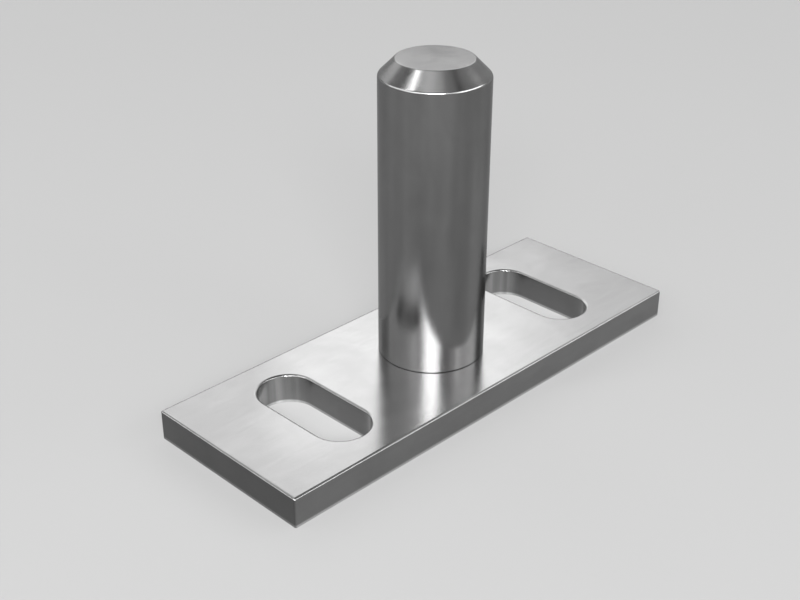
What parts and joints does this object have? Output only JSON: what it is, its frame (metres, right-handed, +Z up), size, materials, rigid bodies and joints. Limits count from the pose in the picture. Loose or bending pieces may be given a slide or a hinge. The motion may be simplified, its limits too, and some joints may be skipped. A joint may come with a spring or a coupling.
{
  "type": "support pin",
  "caption": "Round chamfered support pin riveted upright into a flat base plate with slots across it, so its place can be set when bolted down.",
  "frame": {"origin": "on the pin's axis, in the plane of the base plate's underside", "axes": "+Z up along the pin's axis, +X along the plate's length, +Y across it"},
  "size_m": [0.1, 0.036, 0.063],
  "materials": {
    "plate_steel": "ground and lightly polished bare steel, edges broken",
    "pin_steel": "turned and lightly polished bare steel"
  },
  "bodies": {
    "root": {"base_plate": "plate_steel", "pin": "pin_steel"}
  },
  "joints": []
}
